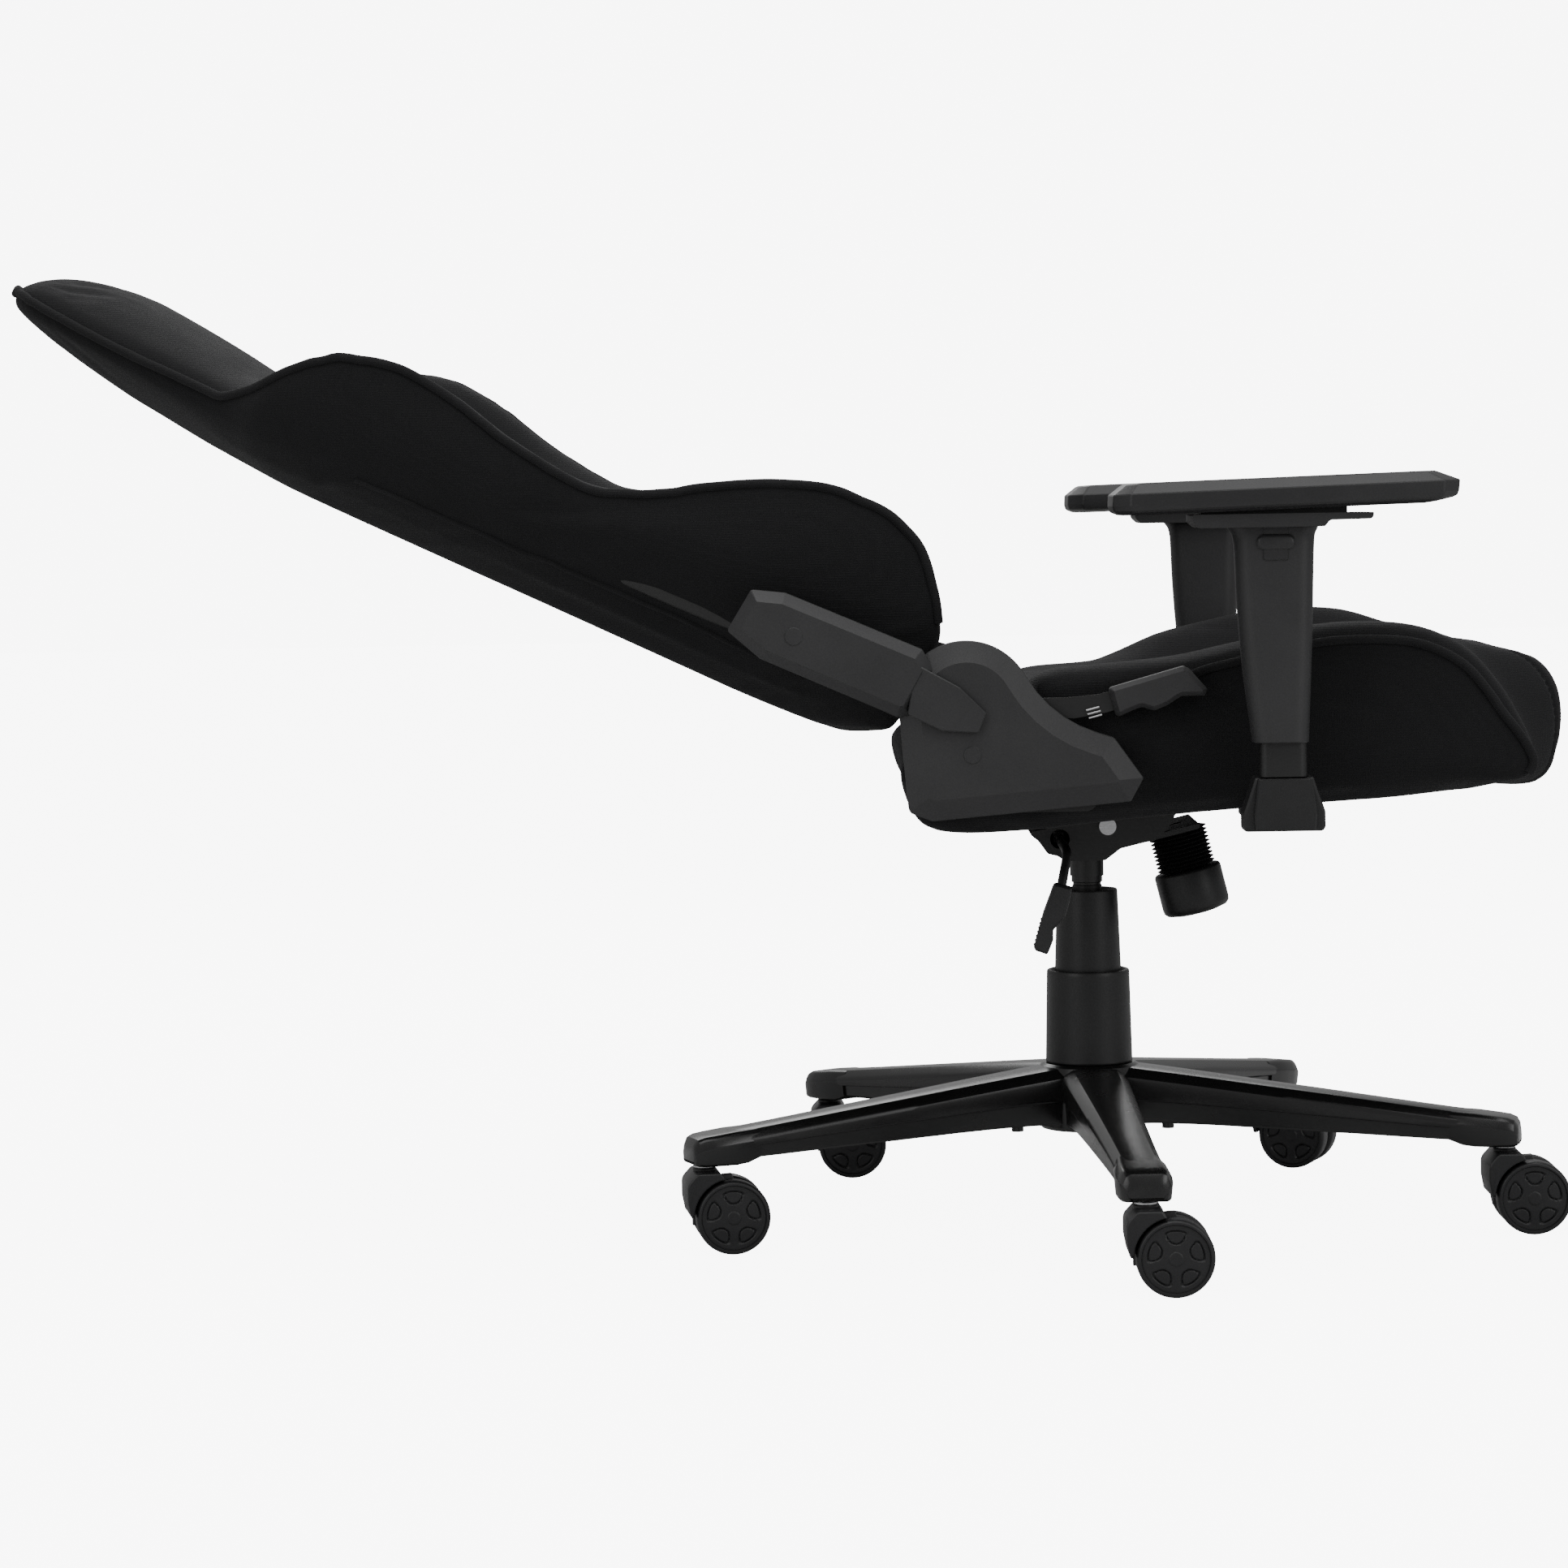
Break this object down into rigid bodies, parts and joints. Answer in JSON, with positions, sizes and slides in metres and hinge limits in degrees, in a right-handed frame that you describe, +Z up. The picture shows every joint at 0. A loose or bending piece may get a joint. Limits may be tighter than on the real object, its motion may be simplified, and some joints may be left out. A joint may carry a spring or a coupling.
{
  "type": "reclining swivel chair",
  "caption": "High-back swivel chair with a reclining winged backrest, adjustable arm rests, tilt mechanism, gas lift and a castor base.",
  "frame": {"origin": "on the floor under the axis of the gas lift", "axes": "+Z up, the sitter faces -Y, the sitter's left is +X; the backrest reclines towards +Y"},
  "size_m": [0.7203, 1.2349, 0.797],
  "materials": {
    "base_plastic": "satin",
    "castor_plastic": "satin",
    "wheel_nylon": "satin",
    "cover_plastic": "matte",
    "black_steel": "satin",
    "bare_steel": "satin",
    "lift_plastic": "satin",
    "bellows_rubber": "matte",
    "fabric": "matte",
    "arm_pad": "satin",
    "button_plastic": "satin"
  },
  "bodies": {
    "base": {"base_star": "base_plastic", "lift_outer_tube": "black_steel", "lift_bearing": "bare_steel", "lift_cover_lower": "lift_plastic"},
    "lift_rod": {"lift_rod": "bare_steel"},
    "mechanism": {"lift_cylinder": "bare_steel", "lift_cover_upper": "lift_plastic", "tilt_housing": "black_steel", "tilt_pivot_bolt": "bare_steel", "tension_spring": "bellows_rubber"},
    "tension_knob": {"tension_knob": "cover_plastic"},
    "lock_bar": {"tilt_lock_bar": "black_steel"},
    "height_lever": {"height_lever_rod": "black_steel", "height_lever_grip": "cover_plastic"},
    "seat": {"seat_plate": "black_steel", "seat_frame": "black_steel", "seat_bolts": "bare_steel", "recliner_pins": "bare_steel", "seat_cushion": "fabric", "recliner_lower_plate_right": "black_steel", "lower_side_cover_right": "cover_plastic", "arm_bracket_right": "black_steel", "arm_post_right": "black_steel", "recliner_lower_plate_left": "black_steel", "lower_side_cover_left": "cover_plastic", "arm_bracket_left": "black_steel", "arm_post_left": "black_steel"},
    "backrest": {"back_frame": "black_steel", "back_bolts": "bare_steel", "back_cushion": "fabric", "recliner_upper_plate_right": "black_steel", "upper_side_cover_right": "cover_plastic", "recliner_upper_plate_left": "black_steel", "upper_side_cover_left": "cover_plastic"},
    "recline_lever": {"recline_lever_arm": "black_steel", "recline_lever_grip": "cover_plastic"},
    "arm_sleeve_right": {"arm_sleeve_right": "cover_plastic"},
    "arm_button_right": {"arm_button_right": "button_plastic"},
    "arm_plate_right": {"arm_pad_plate_right": "cover_plastic"},
    "arm_pad_right": {"arm_pad_right": "arm_pad"},
    "arm_sleeve_left": {"arm_sleeve_left": "cover_plastic"},
    "arm_button_left": {"arm_button_left": "button_plastic"},
    "arm_plate_left": {"arm_pad_plate_left": "cover_plastic"},
    "arm_pad_left": {"arm_pad_left": "arm_pad"},
    "castor_1": {"castor_1_fork": "castor_plastic"},
    "wheel_1a": {"castor_1_wheel_a": "wheel_nylon"},
    "wheel_1b": {"castor_1_wheel_b": "wheel_nylon"},
    "castor_2": {"castor_2_fork": "castor_plastic"},
    "wheel_2a": {"castor_2_wheel_a": "wheel_nylon"},
    "wheel_2b": {"castor_2_wheel_b": "wheel_nylon"},
    "castor_3": {"castor_3_fork": "castor_plastic"},
    "wheel_3a": {"castor_3_wheel_a": "wheel_nylon"},
    "wheel_3b": {"castor_3_wheel_b": "wheel_nylon"},
    "castor_4": {"castor_4_fork": "castor_plastic"},
    "wheel_4a": {"castor_4_wheel_a": "wheel_nylon"},
    "wheel_4b": {"castor_4_wheel_b": "wheel_nylon"},
    "castor_5": {"castor_5_fork": "castor_plastic"},
    "wheel_5a": {"castor_5_wheel_a": "wheel_nylon"},
    "wheel_5b": {"castor_5_wheel_b": "wheel_nylon"}
  },
  "joints": [
    {"name": "swivel", "type": "hinge", "parent": "base", "child": "lift_rod", "pos_m": [0, 0, 0.1], "axis": [0, 0, 1], "continuous": true},
    {"name": "lift", "type": "slide", "parent": "lift_rod", "child": "mechanism", "axis": [0, 0, 1], "range_m": [0, 0.075]},
    {"name": "tilt", "type": "hinge", "parent": "mechanism", "child": "seat", "pos_m": [0, -0.014, 0.334], "axis": [1, 0, 0], "range_deg": [-12, 0], "stiffness_Nm_per_rad": 180, "springref_deg": 22.92},
    {"name": "recline", "type": "hinge", "parent": "seat", "child": "backrest", "pos_m": [0, 0.107, 0.443], "axis": [1, 0, 0], "range_deg": [0, 58]},
    {"name": "recline_lever", "type": "hinge", "parent": "seat", "child": "recline_lever", "pos_m": [-0.275, 0.107, 0.443], "axis": [1, 0, 0], "range_deg": [-25, 0], "stiffness_Nm_per_rad": 1, "springref_deg": 17.19},
    {"name": "tilt_lock", "type": "slide", "parent": "mechanism", "child": "lock_bar", "axis": [-1, 0, 0], "range_m": [0, 0.012]},
    {"name": "height_lever", "type": "hinge", "parent": "lock_bar", "child": "height_lever", "pos_m": [-0.0445, 0.025, 0.324], "axis": [0, 1, 0], "range_deg": [0, 8], "stiffness_Nm_per_rad": 2, "springref_deg": -11.46},
    {"name": "tension_knob", "type": "hinge", "parent": "mechanism", "child": "tension_knob", "pos_m": [0, -0.075, 0.3268], "axis": [0, 0.2368, 0.9715], "range_deg": [-720, 720]},
    {"name": "arm_height_right", "type": "slide", "parent": "seat", "child": "arm_sleeve_right", "axis": [0, 0, 1], "range_m": [-0.025, 0.04]},
    {"name": "arm_button_right", "type": "slide", "parent": "arm_sleeve_right", "child": "arm_button_right", "axis": [1, 0, 0], "range_m": [0, 0.0025], "stiffness_N_per_m": 400, "springref_m": -0.003},
    {"name": "arm_turn_right", "type": "hinge", "parent": "arm_sleeve_right", "child": "arm_plate_right", "pos_m": [-0.309, -0.128, 0.585], "axis": [0, 0, 1], "range_deg": [-15, 15]},
    {"name": "arm_pad_slide_right", "type": "slide", "parent": "arm_plate_right", "child": "arm_pad_right", "axis": [0, 1, 0], "range_m": [-0.03, 0.025]},
    {"name": "arm_height_left", "type": "slide", "parent": "seat", "child": "arm_sleeve_left", "axis": [0, 0, 1], "range_m": [-0.025, 0.04]},
    {"name": "arm_button_left", "type": "slide", "parent": "arm_sleeve_left", "child": "arm_button_left", "axis": [-1, 0, 0], "range_m": [0, 0.0025], "stiffness_N_per_m": 400, "springref_m": -0.003},
    {"name": "arm_turn_left", "type": "hinge", "parent": "arm_sleeve_left", "child": "arm_plate_left", "pos_m": [0.309, -0.128, 0.585], "axis": [0, 0, 1], "range_deg": [-15, 15]},
    {"name": "arm_pad_slide_left", "type": "slide", "parent": "arm_plate_left", "child": "arm_pad_left", "axis": [0, 1, 0], "range_m": [-0.03, 0.025]},
    {"name": "castor_1_swivel", "type": "hinge", "parent": "base", "child": "castor_1", "pos_m": [-0.34232, -0.02154, 0.075], "axis": [0, 0, 1], "continuous": true},
    {"name": "wheel_1a_spin", "type": "hinge", "parent": "castor_1", "child": "wheel_1a", "pos_m": [-0.34232, -0.04254, 0.03], "axis": [1, 0, 0], "continuous": true},
    {"name": "wheel_1b_spin", "type": "hinge", "parent": "castor_1", "child": "wheel_1b", "pos_m": [-0.34232, -0.04254, 0.03], "axis": [1, 0, 0], "continuous": true},
    {"name": "castor_2_swivel", "type": "hinge", "parent": "base", "child": "castor_2", "pos_m": [-0.0853, -0.33222, 0.075], "axis": [0, 0, 1], "continuous": true},
    {"name": "wheel_2a_spin", "type": "hinge", "parent": "castor_2", "child": "wheel_2a", "pos_m": [-0.0853, -0.35322, 0.03], "axis": [1, 0, 0], "continuous": true},
    {"name": "wheel_2b_spin", "type": "hinge", "parent": "castor_2", "child": "wheel_2b", "pos_m": [-0.0853, -0.35322, 0.03], "axis": [1, 0, 0], "continuous": true},
    {"name": "castor_3_swivel", "type": "hinge", "parent": "base", "child": "castor_3", "pos_m": [0.2896, -0.18379, 0.075], "axis": [0, 0, 1], "continuous": true},
    {"name": "wheel_3a_spin", "type": "hinge", "parent": "castor_3", "child": "wheel_3a", "pos_m": [0.28174, -0.20326, 0.03], "axis": [0.9272, -0.3746, 0], "continuous": true},
    {"name": "wheel_3b_spin", "type": "hinge", "parent": "castor_3", "child": "wheel_3b", "pos_m": [0.28174, -0.20326, 0.03], "axis": [0.9272, -0.3746, 0], "continuous": true},
    {"name": "castor_4_swivel", "type": "hinge", "parent": "base", "child": "castor_4", "pos_m": [0.26429, 0.21864, 0.075], "axis": [0, 0, 1], "continuous": true},
    {"name": "wheel_4a_spin", "type": "hinge", "parent": "castor_4", "child": "wheel_4a", "pos_m": [0.26429, 0.19764, 0.03], "axis": [1, 0, 0], "continuous": true},
    {"name": "wheel_4b_spin", "type": "hinge", "parent": "castor_4", "child": "wheel_4b", "pos_m": [0.26429, 0.19764, 0.03], "axis": [1, 0, 0], "continuous": true},
    {"name": "castor_5_swivel", "type": "hinge", "parent": "base", "child": "castor_5", "pos_m": [-0.12627, 0.31891, 0.075], "axis": [0, 0, 1], "continuous": true},
    {"name": "wheel_5a_spin", "type": "hinge", "parent": "castor_5", "child": "wheel_5a", "pos_m": [-0.12334, 0.29812, 0.03], "axis": [0.9903, 0.1392, 0], "continuous": true},
    {"name": "wheel_5b_spin", "type": "hinge", "parent": "castor_5", "child": "wheel_5b", "pos_m": [-0.12334, 0.29812, 0.03], "axis": [0.9903, 0.1392, 0], "continuous": true}
  ]
}
